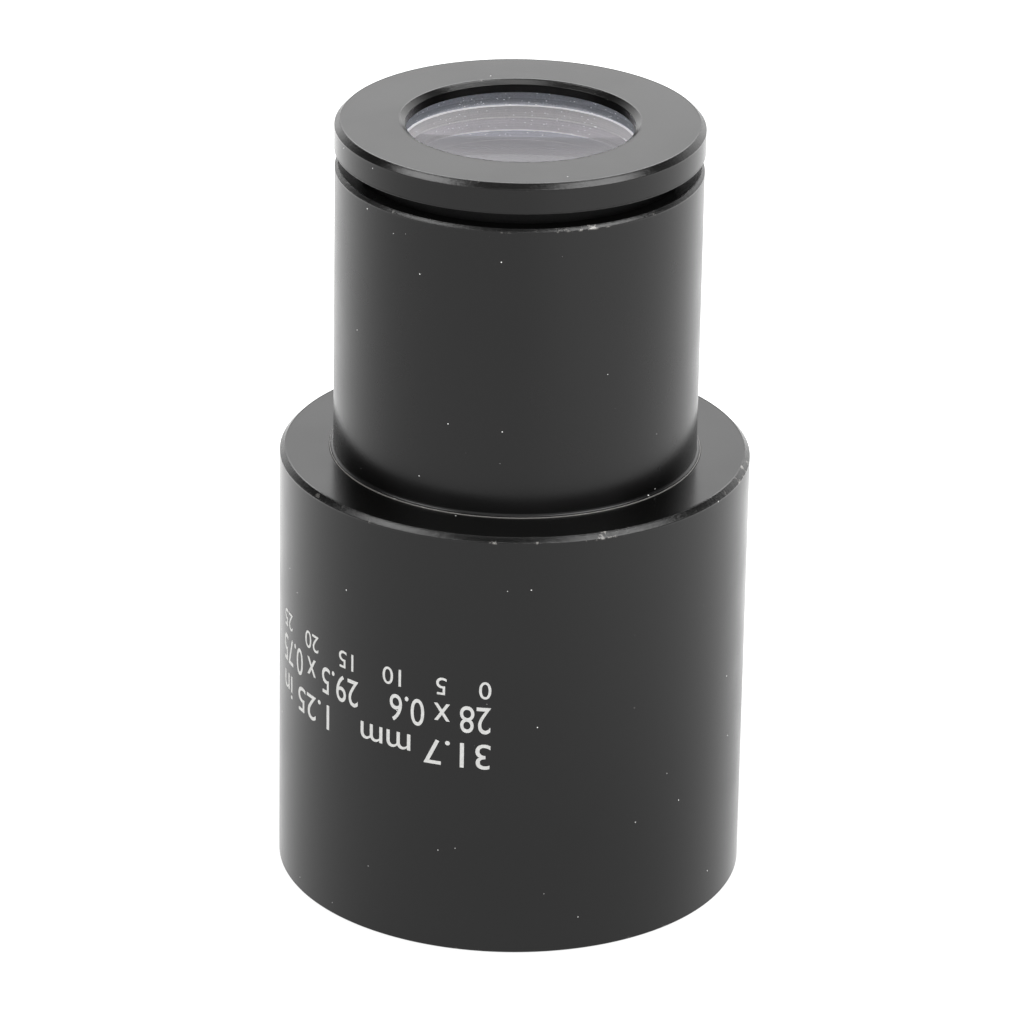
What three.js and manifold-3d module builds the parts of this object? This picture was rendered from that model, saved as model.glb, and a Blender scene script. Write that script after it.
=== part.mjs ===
// A short two-times Barlow lens for 1.25 inch eyepieces, in millimetres.
// +Z runs along the optical axis towards the nose, the end that goes into the telescope.
// The origin is where the axis meets the shoulder that seats on the focuser, and +Y is the thumbscrew's side.

import * as THREE from 'three';
import { mergeVertices } from 'three/addons/utils/BufferGeometryUtils.js';
import Module from 'manifold-3d';

const wasm = await Module();
wasm.setup();

// Outside sizes. Heights are measured from the shoulder.
const HOLDER_RADIUS = 20.5;
const HOLDER_LENGTH = 39.2;
const NOSE_RADIUS = 15.85;
const NOSE_LENGTH = 26.2;
const FLANGE_RADIUS = 15.9;
const FLANGE_GAP = 1.25;
const FLANGE_THICKNESS = 2.65;
const CELL_LENGTH = 10.2;
const EDGE_CHAMFER = 0.4;
const FOOT_FILLET = 0.35;
const FOOT_DEPTH = 1;

// The 1.25 inch eyepiece socket and its clamp.
const SOCKET_RADIUS = 15.925;
const SOCKET_DEPTH = 28;
const CLAMP_HEIGHT = 10.5 - HOLDER_LENGTH;
const CLAMP_GROOVE_RADIUS = 17.4;
const CLAMP_GROOVE_WIDTH = 7;
const CLAMP_RING_THICKNESS = 1;
const CLAMP_RING_WIDTH = 6.6;
const CLAMP_RING_SLIT = 5;

// Threads are plain cylinders at their pitch radius, with a running gap between the two halves.
const THREAD_GAP = 0.05;
const NOSE_THREAD_RADIUS = 14.75;
const NOSE_THREAD_LENGTH = 7.6;
const CELL_THREAD_RADIUS = 14.05;
const CELL_THREAD_LENGTH = 5;
const RETAINER_THREAD_RADIUS = 10.9;
const SCREW_THREAD_RADIUS = 1.85;

// Bores along the light path.
const NOSE_BORE_RADIUS = 13;
const LIGHT_BORE_RADIUS = 13.6;
const APERTURE_RADIUS = 9.84;
const LIP_DEPTH = 1.08;
const STOP_APERTURE_RADIUS = 9;

// The cemented doublet: a crown element in front and a flint element behind it.
const LENS_RADIUS = 10.4;
const CROWN_EDGE = 3.4;
const FLINT_EDGE = 3.8;
const FRONT_CURVE = 72;
const CEMENT_CURVE = 34;
const REAR_CURVE = 115;
const LENS_BEVEL = 0.15;
const SEAT_GAP = 0.05;

// Steps round a turned piece, and along one lens surface.
const TURN_STEPS = 64;
const SCREW_STEPS = 32;
const SURFACE_STEPS = 6;

// Heights worked out from the sizes above.
const RIM_Z = -HOLDER_LENGTH;
const SOCKET_END_Z = RIM_Z + SOCKET_DEPTH;
const SPIGOT_END_Z = -NOSE_THREAD_LENGTH;
const NOSE_TOP_Z = NOSE_LENGTH;
const FLANGE_Z = NOSE_TOP_Z + FLANGE_GAP;
const FRONT_Z = FLANGE_Z + FLANGE_THICKNESS;
const CELL_END_Z = FRONT_Z - CELL_LENGTH;
const CELL_LEDGE_Z = CELL_END_Z - SEAT_GAP;
const LENS_TOP_Z = FRONT_Z - LIP_DEPTH - SEAT_GAP;
const LENS_END_Z = LENS_TOP_Z - CROWN_EDGE - FLINT_EDGE;

const blackAnodise = { color: 0x17181a, roughness: 0.38, metalness: 0.6 };
const blackPaint = { color: 0x0b0b0c, roughness: 0.9, metalness: 0 };
const brass = { color: 0xb58a3c, roughness: 0.35, metalness: 1 };
const nickel = { color: 0xb9bbbe, roughness: 0.25, metalness: 1 };
const nylon = { color: 0xd9d6cc, roughness: 0.6, metalness: 0 };
const glass = { color: 0xb9c2cf, roughness: 0.05, metalness: 0, transparent: true, opacity: 0.35 };

// One named piece of the assembly.
function piece(name, geometry, material) {
  const mesh = new THREE.Mesh(geometry, new THREE.MeshStandardMaterial(material));
  mesh.name = name;
  return mesh;
}

// Turns a profile of [radius, height] points about +Z. Seen with the radius to the right
// and the height upwards, the points run anticlockwise round the material.
function turned(profile, steps = TURN_STEPS) {
  const points = profile.map(([radius, height]) => new THREE.Vector2(radius, height));
  const geometry = new THREE.LatheGeometry(points, steps);
  geometry.rotateX(Math.PI / 2);
  return geometry;
}

// Turns a profile that doesn't reach the axis, so it closes on its own first point.
function turnedRing(profile, steps = TURN_STEPS) {
  return turned([...profile, profile[0]], steps);
}

// A closed mesh as a solid that can be joined and cut.
function solid(geometry) {
  const bare = geometry.clone();
  bare.deleteAttribute('normal');
  bare.deleteAttribute('uv');
  const merged = mergeVertices(bare, 1e-4);
  return new wasm.Manifold(new wasm.Mesh({
    numProp: 3,
    vertProperties: new Float32Array(merged.attributes.position.array),
    triVerts: new Uint32Array(merged.index.array),
  }));
}

// The surface of a solid, as a geometry.
function surface(body) {
  const mesh = body.getMesh();
  const geometry = new THREE.BufferGeometry();
  geometry.setAttribute('position', new THREE.BufferAttribute(mesh.vertProperties, 3));
  geometry.setIndex(new THREE.BufferAttribute(mesh.triVerts, 1));
  geometry.computeVertexNormals();
  return geometry;
}

// How far a spherical surface falls away from its vertex at a given distance from the axis.
function sag(curve, radius) {
  return curve - Math.sqrt(curve * curve - radius * radius);
}

// Points along a spherical surface from the axis outwards, where rise is +1 if the rim is
// above the vertex and -1 if it is below.
function lensSurface(rimZ, curve, rimRadius, rise) {
  const vertexZ = rimZ - rise * sag(curve, rimRadius);
  const points = [];
  for (let step = 0; step <= SURFACE_STEPS; step += 1) {
    const radius = rimRadius * step / SURFACE_STEPS;
    points.push([radius, vertexZ + rise * sag(curve, radius)]);
  }
  return points;
}

// The wide body: eyepiece socket, groove for the clamping ring, stop and thread for the nose.
function eyepieceHolder() {
  const mouthChamfer = 0.6;
  const rimBreak = 0.15;
  const stopThickness = 3;
  const grooveLow = CLAMP_HEIGHT - CLAMP_GROOVE_WIDTH / 2;
  const grooveHigh = CLAMP_HEIGHT + CLAMP_GROOVE_WIDTH / 2;
  const threadRadius = NOSE_THREAD_RADIUS + THREAD_GAP / 2;
  const footSeat = NOSE_RADIUS + FOOT_FILLET + SEAT_GAP;
  const body = solid(turnedRing([
    [HOLDER_RADIUS - rimBreak, RIM_Z],
    [HOLDER_RADIUS, RIM_Z + rimBreak],
    [HOLDER_RADIUS, -EDGE_CHAMFER],
    [HOLDER_RADIUS - EDGE_CHAMFER, 0],
    [footSeat, 0],
    [footSeat, -FOOT_DEPTH],
    [threadRadius, -FOOT_DEPTH],
    [threadRadius, SOCKET_END_Z + stopThickness],
    [LIGHT_BORE_RADIUS, SOCKET_END_Z + stopThickness],
    [LIGHT_BORE_RADIUS, SOCKET_END_Z],
    [SOCKET_RADIUS, SOCKET_END_Z],
    [SOCKET_RADIUS, grooveHigh],
    [CLAMP_GROOVE_RADIUS, grooveHigh],
    [CLAMP_GROOVE_RADIUS, grooveLow],
    [SOCKET_RADIUS, grooveLow],
    [SOCKET_RADIUS, RIM_Z + mouthChamfer],
    [SOCKET_RADIUS + mouthChamfer, RIM_Z],
  ]));
  const screwHole = new THREE.CylinderGeometry(
    SCREW_THREAD_RADIUS + THREAD_GAP, SCREW_THREAD_RADIUS + THREAD_GAP, 8, SCREW_STEPS);
  screwHole.translate(0, CLAMP_GROOVE_RADIUS + 2, CLAMP_HEIGHT);
  return piece('eyepiece_holder', surface(body.subtract(solid(screwHole))), blackAnodise);
}

// A split brass ring that the thumbscrew closes on the eyepiece. Its slit faces away from the screw.
function compressionRing() {
  const inner = SOCKET_RADIUS + 0.025;
  const outer = inner + CLAMP_RING_THICKNESS;
  const halfSlit = CLAMP_RING_SLIT / 2 / inner;
  const start = -Math.PI / 2 + halfSlit;
  const end = Math.PI * 3 / 2 - halfSlit;
  const outline = new THREE.Shape();
  outline.absarc(0, 0, outer, start, end, false);
  outline.absarc(0, 0, inner, end, start, true);
  const geometry = new THREE.ExtrudeGeometry(outline, {
    depth: CLAMP_RING_WIDTH, bevelEnabled: false, curveSegments: 30,
  });
  geometry.translate(0, 0, CLAMP_HEIGHT - CLAMP_RING_WIDTH / 2);
  return piece('compression_ring', geometry, brass);
}

// The thumbscrew is turned about its own +Z, which the group then points along +Y.
function thumbscrew() {
  const ringOuter = SOCKET_RADIUS + 0.025 + CLAMP_RING_THICKNESS;
  const tipStart = ringOuter + 0.3;
  const tipLength = 0.8;
  const stemRadius = 0.8;
  const stemLength = 1.5;
  const shankStart = tipStart + tipLength + SEAT_GAP;
  const knobStart = HOLDER_RADIUS + 1.2;
  const knobLength = 8;
  const knobRadius = 5;
  const collarRadius = 3.2;
  const collarLength = 1.4;
  const knobEdge = 0.5;
  const shankSeat = knobStart + 6;
  const tip = turned([
    [0, tipStart],
    [1.4, tipStart],
    [1.4, tipStart + tipLength],
    [stemRadius, tipStart + tipLength],
    [stemRadius, tipStart + tipLength + stemLength],
    [0, tipStart + tipLength + stemLength],
  ], SCREW_STEPS);
  const shank = turned([
    [0, shankStart + stemLength + SEAT_GAP],
    [stemRadius + THREAD_GAP, shankStart + stemLength + SEAT_GAP],
    [stemRadius + THREAD_GAP, shankStart],
    [SCREW_THREAD_RADIUS, shankStart],
    [SCREW_THREAD_RADIUS, shankSeat],
    [0, shankSeat],
  ], SCREW_STEPS);
  const knob = turned([
    [0, shankSeat + SEAT_GAP],
    [SCREW_THREAD_RADIUS + THREAD_GAP, shankSeat + SEAT_GAP],
    [SCREW_THREAD_RADIUS + THREAD_GAP, knobStart],
    [collarRadius, knobStart],
    [collarRadius, knobStart + collarLength],
    [knobRadius - knobEdge, knobStart + collarLength],
    [knobRadius, knobStart + collarLength + knobEdge],
    [knobRadius, knobStart + knobLength - knobEdge],
    [knobRadius - knobEdge, knobStart + knobLength],
    [0, knobStart + knobLength],
  ], SCREW_STEPS);
  const group = new THREE.Group();
  group.add(piece('thumbscrew_tip', tip, nylon));
  group.add(piece('thumbscrew_shank', shank, nickel));
  group.add(piece('thumbscrew_knob', knob, nickel));
  group.rotation.x = -Math.PI / 2;
  group.position.z = CLAMP_HEIGHT;
  return group;
}

// The nose tube. Its foot sits in the holder's counterbore, with a threaded spigot below it,
// and the top is threaded for the lens cell.
function noseBarrel() {
  const topChamfer = 0.25;
  const cellThread = CELL_THREAD_RADIUS + THREAD_GAP;
  const spigot = NOSE_THREAD_RADIUS - THREAD_GAP / 2;
  const footZ = SEAT_GAP - FOOT_DEPTH;
  const filletSteps = 4;
  const fillet = [];
  for (let step = 0; step <= filletSteps; step += 1) {
    const turn = Math.PI / 2 * step / filletSteps;
    fillet.push([
      NOSE_RADIUS + FOOT_FILLET * (1 - Math.sin(turn)),
      FOOT_FILLET * (1 - Math.cos(turn)),
    ]);
  }
  return piece('nose_barrel', turnedRing([
    [spigot, SPIGOT_END_Z],
    [spigot, footZ],
    [NOSE_RADIUS + FOOT_FILLET, footZ],
    ...fillet,
    [NOSE_RADIUS, NOSE_TOP_Z - topChamfer],
    [NOSE_RADIUS - topChamfer, NOSE_TOP_Z],
    [cellThread, NOSE_TOP_Z],
    [cellThread, CELL_LEDGE_Z],
    [NOSE_BORE_RADIUS, CELL_LEDGE_Z],
    [NOSE_BORE_RADIUS, SPIGOT_END_Z],
  ]), blackAnodise);
}

// A blackened ring inside the nose tube that stops light from glancing off its wall.
function glareStop() {
  const outer = NOSE_BORE_RADIUS - 0.07;
  const skirt = outer - 0.6;
  const low = 5;
  const skirtLength = 4;
  const thickness = 1;
  const high = low + skirtLength;
  return piece('glare_stop', turnedRing([
    [outer, low],
    [outer, high],
    [STOP_APERTURE_RADIUS + 0.3, high],
    [STOP_APERTURE_RADIUS, high - thickness / 2],
    [skirt, high - thickness],
    [skirt, low],
  ]), blackPaint);
}

// The cell: a flange as wide as the nose, a lip that holds the glass, and a threaded spigot.
function lensCell() {
  const spigot = CELL_THREAD_RADIUS;
  const relief = spigot - 0.45;
  const reliefEnd = CELL_END_Z + CELL_THREAD_LENGTH;
  const glassBore = LENS_RADIUS + SEAT_GAP;
  const retainerBore = RETAINER_THREAD_RADIUS;
  const retainerTop = LENS_END_Z + 0.1;
  return piece('lens_cell', turnedRing([
    [spigot, CELL_END_Z],
    [spigot, reliefEnd],
    [relief, reliefEnd],
    [relief, FLANGE_Z],
    [FLANGE_RADIUS, FLANGE_Z],
    [FLANGE_RADIUS, FRONT_Z - EDGE_CHAMFER],
    [FLANGE_RADIUS - EDGE_CHAMFER, FRONT_Z],
    [APERTURE_RADIUS + EDGE_CHAMFER, FRONT_Z],
    [APERTURE_RADIUS, FRONT_Z - EDGE_CHAMFER],
    [APERTURE_RADIUS, FRONT_Z - LIP_DEPTH],
    [glassBore, FRONT_Z - LIP_DEPTH],
    [glassBore, retainerTop],
    [retainerBore, retainerTop],
    [retainerBore, CELL_END_Z],
  ]), blackAnodise);
}

// The front element of the doublet, hollow on its front face.
function frontLens() {
  const rim = LENS_RADIUS - LENS_BEVEL;
  const front = lensSurface(LENS_TOP_Z, FRONT_CURVE, rim, 1);
  const back = lensSurface(LENS_TOP_Z - CROWN_EDGE, CEMENT_CURVE, rim, -1);
  return piece('front_lens', turned([
    ...back,
    [LENS_RADIUS, LENS_TOP_Z - CROWN_EDGE + LENS_BEVEL],
    [LENS_RADIUS, LENS_TOP_Z - LENS_BEVEL],
    ...front.reverse(),
  ]), glass);
}

// The rear element, whose front face follows the front element's back face.
function rearLens() {
  const cement = 0.02;
  const rim = LENS_RADIUS - LENS_BEVEL;
  const top = LENS_TOP_Z - CROWN_EDGE - cement;
  const front = lensSurface(top, CEMENT_CURVE, rim, -1);
  const back = lensSurface(LENS_END_Z, REAR_CURVE, rim, -1);
  return piece('rear_lens', turned([
    ...back,
    [LENS_RADIUS, LENS_END_Z + LENS_BEVEL],
    [LENS_RADIUS, top - LENS_BEVEL],
    ...front.reverse(),
  ]), glass);
}

// The threaded ring behind the glass, with two slots across it for a spanner.
function cellRetainingRing() {
  const outer = RETAINER_THREAD_RADIUS - THREAD_GAP;
  const inner = 9.3;
  const thickness = 1.5;
  const slotWidth = 1.2;
  const slotDepth = 0.8;
  const high = LENS_END_Z - SEAT_GAP;
  const low = high - thickness;
  const ring = solid(turnedRing([
    [outer, low],
    [outer, high],
    [inner + 0.4, high],
    [inner, high - 0.4],
    [inner, low],
  ]));
  const slots = new THREE.BoxGeometry(4 * outer, slotWidth, 2 * slotDepth);
  slots.translate(0, 0, low);
  return piece('cell_retaining_ring', surface(ring.subtract(solid(slots))), blackAnodise);
}

const barlow = new THREE.Group();
barlow.add(eyepieceHolder());
barlow.add(compressionRing());
barlow.add(thumbscrew());
barlow.add(noseBarrel());
barlow.add(glareStop());
barlow.add(lensCell());
barlow.add(frontLens());
barlow.add(rearLens());
barlow.add(cellRetainingRing());

export default barlow;
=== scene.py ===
import math
from collections import namedtuple

import bmesh
import bpy
from mathutils import Matrix, Vector


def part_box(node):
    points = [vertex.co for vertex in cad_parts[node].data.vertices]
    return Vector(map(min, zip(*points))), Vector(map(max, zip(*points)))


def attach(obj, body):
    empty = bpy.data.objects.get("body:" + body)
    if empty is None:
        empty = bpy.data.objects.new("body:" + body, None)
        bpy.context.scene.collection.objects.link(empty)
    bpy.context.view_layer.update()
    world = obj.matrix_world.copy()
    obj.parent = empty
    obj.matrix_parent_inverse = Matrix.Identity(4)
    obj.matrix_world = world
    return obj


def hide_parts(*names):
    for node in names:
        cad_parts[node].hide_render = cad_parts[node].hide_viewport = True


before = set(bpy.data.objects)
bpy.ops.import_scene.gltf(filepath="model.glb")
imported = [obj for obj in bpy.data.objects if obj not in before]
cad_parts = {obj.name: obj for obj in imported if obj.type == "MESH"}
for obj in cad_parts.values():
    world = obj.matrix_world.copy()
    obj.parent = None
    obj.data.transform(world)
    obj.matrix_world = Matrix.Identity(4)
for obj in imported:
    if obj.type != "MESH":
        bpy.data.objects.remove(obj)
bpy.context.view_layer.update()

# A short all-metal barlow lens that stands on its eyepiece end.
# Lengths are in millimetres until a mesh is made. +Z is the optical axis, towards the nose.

MM = 0.001


def span(node):
    """Lowest and highest corner of a CAD node, in millimetres."""
    low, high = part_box(node)
    return low / MM, high / MM


# ---------------------------------------------------------------- driving dimensions

holder_low, holder_high = span("eyepiece_holder")
clamp_low, clamp_high = span("compression_ring")
nose_low, nose_high = span("nose_barrel")
stop_low, stop_high = span("glare_stop")
cell_low, cell_high = span("lens_cell")
crown_low, crown_high = span("front_lens")
flint_low, flint_high = span("rear_lens")
retainer_low, retainer_high = span("cell_retaining_ring")
tip_low, tip_high = span("thumbscrew_tip")
shank_low, shank_high = span("thumbscrew_shank")
knob_low, knob_high = span("thumbscrew_knob")

# The eyepiece holder.
HOLDER_RADIUS = holder_high.x
RIM_Z = holder_low.z
SHOULDER_Z = holder_high.z
SHOULDER_CHAMFER = 0.42
RIM_ROUNDING = 0.15
SOCKET_RADIUS = 15.925
SOCKET_END_Z = RIM_Z + 28.0
SOCKET_MOUTH = 0.6
CLAMP_Z = (clamp_low.z + clamp_high.z) / 2
CLAMP_GROOVE_RADIUS = 17.4
CLAMP_GROOVE_WIDTH = 7.0
CLAMP_RING_THICKNESS = 1.0
CLAMP_SLIT = 5.0
SCREW_ZONE_HALF = 4.0
LIGHT_BORE_RADIUS = 13.6

# The low land round the nose's foot, which fills the counterbore in the shoulder.
FOOT_RADIUS = nose_high.x
FOOT_LOW_Z = SHOULDER_Z - 0.95
FOOT_FILLET = 0.2
FOOT_LAND = 0.09
COUNTERBORE_RADIUS = FOOT_RADIUS + 0.015
COUNTERBORE_Z = SHOULDER_Z - 1.0

# The nose.
NOSE_RADIUS = 15.85
NOSE_BORE_RADIUS = 13.0
NOSE_TOP_Z = nose_high.z - 0.08
NOSE_TOP_CHAMFER = 0.26
SPIGOT_END_Z = nose_low.z
THREAD_BORE_END_Z = SPIGOT_END_Z - 0.6
STOP_APERTURE_RADIUS = 9.0
STOP_THICKNESS = 1.0
STOP_SKIRT = 0.6
STOP_LAND = 0.15
STOP_COUNTERSINK = 0.85

# The lens cell.
FLANGE_LOW_Z = 27.45
FLANGE_CHAMFER = 0.46
CELL_LEDGE_Z = cell_low.z - 0.05
CELL_THREAD_TOP_Z = cell_low.z + 5.0
RELIEF_RADIUS = 13.6
APERTURE_RADIUS = 9.84
APERTURE_BEVEL_WIDTH = 0.5
APERTURE_BEVEL_DEPTH = 0.36
LENS_BORE_RADIUS = crown_high.x + 0.05
LIP_Z = crown_high.z + 0.05
RETAINER_BORE_TOP_Z = retainer_high.z + 0.15
RETAINER_RADIUS = 9.3
SPANNER_SLOT_HALF = 0.6
SPANNER_SLOT_DEPTH = 0.8

# The two glass elements.
FRONT_CURVE = 72.0
CEMENT_CURVE = 34.0
REAR_CURVE = 115.0
CEMENT_GAP = 0.02
LENS_BEVEL = 0.15

# The thumbscrew.
KNOB_COLLAR_RADIUS = 3.2
KNOB_COLLAR_LENGTH = 1.4
KNOB_CHAMFER = 0.5
KNOB_RIM_WIDTH = 1.2
KNOB_DISH_WIDTH = 1.5
KNOB_DISH_DEPTH = 0.25
SCREW_BORE_RADIUS = 1.9
SCREW_FUNNEL = 0.9
TIP_STEM_RADIUS = 0.8
TIP_HEAD_LENGTH = 0.8
SHANK_HOLE_RADIUS = 0.85
KNURL_COUNT = 44
KNURL_STEPS = 5
KNURL_ROWS = 48
KNURL_DEPTH = 0.28
KNURL_FADE = 0.3

# Each thread is (radius halfway up its teeth on the male side, pitch, half the height of a tooth).
Thread = namedtuple("Thread", "radius pitch depth")
NOSE_THREAD = Thread(14.56, 0.75, 0.17)
CELL_THREAD = Thread(13.91, 0.6, 0.14)
RETAINER_THREAD = Thread(10.76, 0.5, 0.1)
SCREW_THREAD = Thread(1.72, 0.7, 0.13)
THREAD_CLEARANCE = 0.05
THREAD_ROWS = 8
THREAD_RUN_OUT = 0.5
THREAD_LEAD_IN = 0.25
THREAD_UNDERCUT = 0.1
TOOTH_SLOPE = 1.35

# Ridges in the light path that stop stray light.
BAFFLE_PITCH = 0.55
BAFFLE_DEPTH = 0.22
BAFFLE_MARGIN = 0.4

# How finely the meshes are made.
TURN_STEPS = 192
SCREW_STEPS = 96
HOLE_STEPS = 64
ARC_STEPS = 4
LENS_RINGS = 28
SUPPORT = 0.1
SHARP_ANGLE = math.radians(32)

# Only a chamfer narrower than this is worn from edge to edge, and less than its edges are.
WIDEST_CHAMFER = 1.0
CHAMFER_WEAR = 0.6

# Finishes of the black pieces, and of the glass.
PAINT = 1
CEMENTED_FACE = 1
GROUND_EDGE = 2
GROUND_BEVEL = 3


# ---------------------------------------------------------------- turned pieces

# One row of a turned piece. A row with a rounding is a corner, and a row with a depth is in a thread.
# The wear says how worn the edge is, and by as much as it is over 1 the metal is bare all round.
# The finish is the material of the band from this row to the next.
Row = namedtuple("Row", "radius height rounding wear depth pitch finish")


def corner(radius, height, rounding=0.0, wear=0.0, finish=0):
    """A row outside a thread, sharp unless it has a rounding."""
    return Row(radius, height, rounding, wear, 0.0, 1.0, finish)


def wear_beside(row, other):
    """Wear of the surface between two corners: only a narrow chamfer between worn corners has any."""
    width = math.hypot(row.radius - other.radius, row.height - other.height)
    return min(row.wear, other.wear) * CHAMFER_WEAR if width < WIDEST_CHAMFER else 0.0


def rounded(rows):
    """The rows with an arc in place of each rounded corner, and a support row beside each arc."""
    result = []
    for index, row in enumerate(rows):
        if row.rounding == 0.0:
            result.append(row)
            continue
        before = rows[index - 1]
        after = rows[(index + 1) % len(rows)]
        point = Vector((row.radius, row.height))
        to_before = (Vector((before.radius, before.height)) - point).normalized()
        to_after = (Vector((after.radius, after.height)) - point).normalized()
        half = to_before.angle(to_after) / 2
        reach = row.rounding / math.tan(half)
        centre = point + (to_before + to_after).normalized() * row.rounding / math.sin(half)
        start = point + to_before * reach - centre
        end = point + to_after * reach - centre
        lead = point + to_before * (reach + SUPPORT)
        tail = point + to_after * (reach + SUPPORT)
        plain = row._replace(rounding=0.0)
        lead_wear = wear_beside(row, before)
        result.append(plain._replace(radius=lead.x, height=lead.y, wear=lead_wear, finish=before.finish))
        for step in range(ARC_STEPS + 1):
            arm = start.lerp(end, step / ARC_STEPS).normalized() * row.rounding
            result.append(plain._replace(radius=centre.x + arm.x, height=centre.y + arm.y))
        result.append(plain._replace(radius=tail.x, height=tail.y, wear=wear_beside(row, after)))
    return result


def root(thread, inside=False):
    """Radius at the bottom of a thread's grooves, on a rod or inside a bore."""
    if inside:
        return thread.radius + THREAD_CLEARANCE + thread.depth
    return thread.radius - thread.depth


def threaded(thread, start, end, inside=False):
    """Rows of a right-hand thread between two heights, in either direction.

    Both ends fade to the thread's root. They stay clear of the support rows of the corners beside them,
    or the outline would fold back over itself.
    """
    count = max(2, round(abs(end - start) / thread.pitch * THREAD_ROWS))
    rows = []
    for step in range(count + 1):
        height = start + (end - start) * step / count
        to_end = min(abs(height - start), abs(end - height))
        depth = thread.depth * min(1.0, to_end / THREAD_RUN_OUT)
        radius = root(thread, inside) + (-depth if inside else depth)
        rows.append(Row(radius, height, 0.0, 0.0, depth, thread.pitch, 0))
    return rows


def baffled(radius, start, end):
    """Rows of painted V-shaped ridges that run round a bore and stop stray light."""
    count = round(abs(end - start) / BAFFLE_PITCH)
    rows = []
    for step in range(count):
        height = start + (end - start) * step / count
        middle = start + (end - start) * (step + 0.5) / count
        rows.append(corner(radius, height, finish=PAINT))
        rows.append(corner(radius + BAFFLE_DEPTH, middle, finish=PAINT))
    rows.append(corner(radius, end, finish=PAINT))
    return rows


def tooth(turns):
    """A thread's cross-section from -1 at the root to 1 at the crest, both slightly flat."""
    wave = 1.0 - 4.0 * abs(turns - math.floor(turns) - 0.5)
    return max(-1.0, min(1.0, -TOOTH_SLOPE * wave))


def lathe(name, rows, steps=TURN_STEPS, slit=0.0, relief=None):
    """A closed mesh from a half-section that runs anticlockwise, or from the axis back to the axis.

    slit leaves an opening of that width at -Y. relief(radius, angle, height) can pattern the surface.
    """
    rows = rounded(rows)
    on_axis = rows[0].radius == 0.0
    opening = slit / max(row.radius for row in rows)
    first_angle = -math.pi / 2 + opening / 2
    columns = steps + 1 if slit else steps
    vertices = []
    wear = []
    rings = []
    for row in rows:
        if row.radius == 0.0:
            rings.append([len(vertices)] * columns)
            vertices.append((0.0, 0.0, row.height * MM))
            wear.append(row.wear)
            continue
        rings.append(range(len(vertices), len(vertices) + columns))
        for column in range(columns):
            angle = first_angle + (2 * math.pi - opening) * column / steps
            radius = row.radius
            if row.depth:
                radius += row.depth * tooth(row.height / row.pitch - angle / (2 * math.pi))
            if relief:
                radius += relief(row.radius, angle, row.height)
            x = radius * math.cos(angle)
            y = radius * math.sin(angle)
            vertices.append((x * MM, y * MM, row.height * MM))
            wear.append(row.wear)
    faces = []
    finishes = []
    bands = len(rows) - 1 if on_axis else len(rows)
    for band in range(bands):
        low = rings[band]
        high = rings[(band + 1) % len(rows)]
        for column in range(steps):
            beside = (column + 1) % columns
            ring = (low[column], low[beside], high[beside], high[column])
            faces.append(tuple(dict.fromkeys(ring)))
            finishes.append(rows[band].finish)
    if slit:
        faces.append(tuple(ring[0] for ring in rings))
        faces.append(tuple(ring[steps] for ring in reversed(rings)))
        finishes.extend([0, 0])
    mesh = bpy.data.meshes.new(name)
    mesh.from_pydata(vertices, [], faces)
    mesh.polygons.foreach_set("material_index", finishes)
    mesh.attributes.new("wear", "FLOAT", "POINT").data.foreach_set("value", wear)
    mesh.update()
    return mesh


def cut(mesh, tools):
    """The mesh with each closed tool mesh taken out of it."""
    piece = bpy.data.objects.new("cut_piece", mesh)
    bpy.context.scene.collection.objects.link(piece)
    helpers = []
    for tool in tools:
        helper = bpy.data.objects.new("cut_tool", tool)
        bpy.context.scene.collection.objects.link(helper)
        modifier = piece.modifiers.new("cut", "BOOLEAN")
        modifier.operation = "DIFFERENCE"
        modifier.solver = "EXACT"
        modifier.object = helper
        helpers.append(helper)
    bpy.context.view_layer.update()
    depsgraph = bpy.context.evaluated_depsgraph_get()
    result = bpy.data.meshes.new_from_object(piece.evaluated_get(depsgraph))
    for helper in [piece, *helpers]:
        bpy.data.objects.remove(helper)
    return result


def box_mesh(low, high):
    """A plain block for cutting a slot."""
    shape = bmesh.new()
    bmesh.ops.create_cube(shape, size=1.0)
    for vertex in shape.verts:
        for axis in range(3):
            share = vertex.co[axis] + 0.5
            vertex.co[axis] = (low[axis] + (high[axis] - low[axis]) * share) * MM
    mesh = bpy.data.meshes.new("block")
    shape.to_mesh(mesh)
    shape.free()
    return mesh


def add_piece(name, mesh, materials, body, nodes=(), place=None):
    """Puts a finished mesh in the scene on its body, in the place of its CAD nodes."""
    for material in materials:
        mesh.materials.append(material)
    mesh.polygons.foreach_set("use_smooth", [True] * len(mesh.polygons))
    mesh.set_sharp_from_angle(angle=SHARP_ANGLE)
    piece = bpy.data.objects.new(name, mesh)
    bpy.context.scene.collection.objects.link(piece)
    if place:
        piece.matrix_world = place
    modifier = piece.modifiers.new("normals", "WEIGHTED_NORMAL")
    modifier.keep_sharp = True
    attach(piece, body)
    if nodes:
        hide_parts(*nodes)


# ---------------------------------------------------------------- materials


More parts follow.
